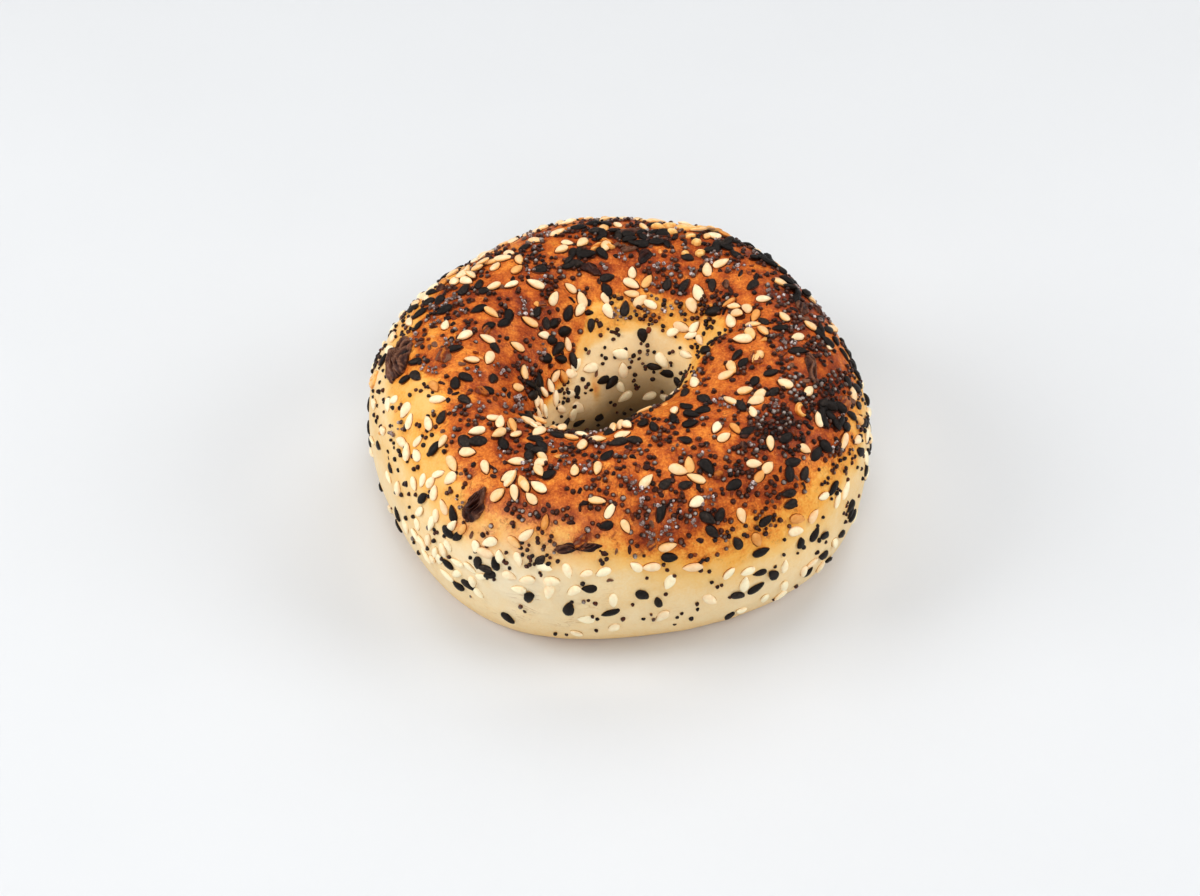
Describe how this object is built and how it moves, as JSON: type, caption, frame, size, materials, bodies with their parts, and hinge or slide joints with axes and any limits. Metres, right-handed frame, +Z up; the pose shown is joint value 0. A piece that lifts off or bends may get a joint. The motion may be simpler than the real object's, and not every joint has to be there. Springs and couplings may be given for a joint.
{
  "type": "seeded bagel",
  "caption": "Round hand-rolled bagel with a narrow oval hole, a creased crust and scattered sesame seeds, poppy seeds and onion flakes.",
  "frame": {"origin": "on the surface that the bagel rests on, under the middle of its outline seen from above", "axes": "+Z up through the hole, -Y towards the front of the bagel, +X to its right"},
  "size_m": [0.1, 0.0979, 0.0414],
  "materials": {
    "crust": "baked bread crust, browned orange on top and pale cream on the sides",
    "sesame_white": "smooth cream seed, some toasted",
    "sesame_black": "black seed with a dull sheen",
    "poppy": "pitted blue-black and brown seed",
    "flakes": "wrinkled dried onion, toasted brown and tan",
    "crystals": "small greyish salt and garlic grains that glint"
  },
  "bodies": {
    "root": {"bagel": "crust"}
  },
  "joints": []
}
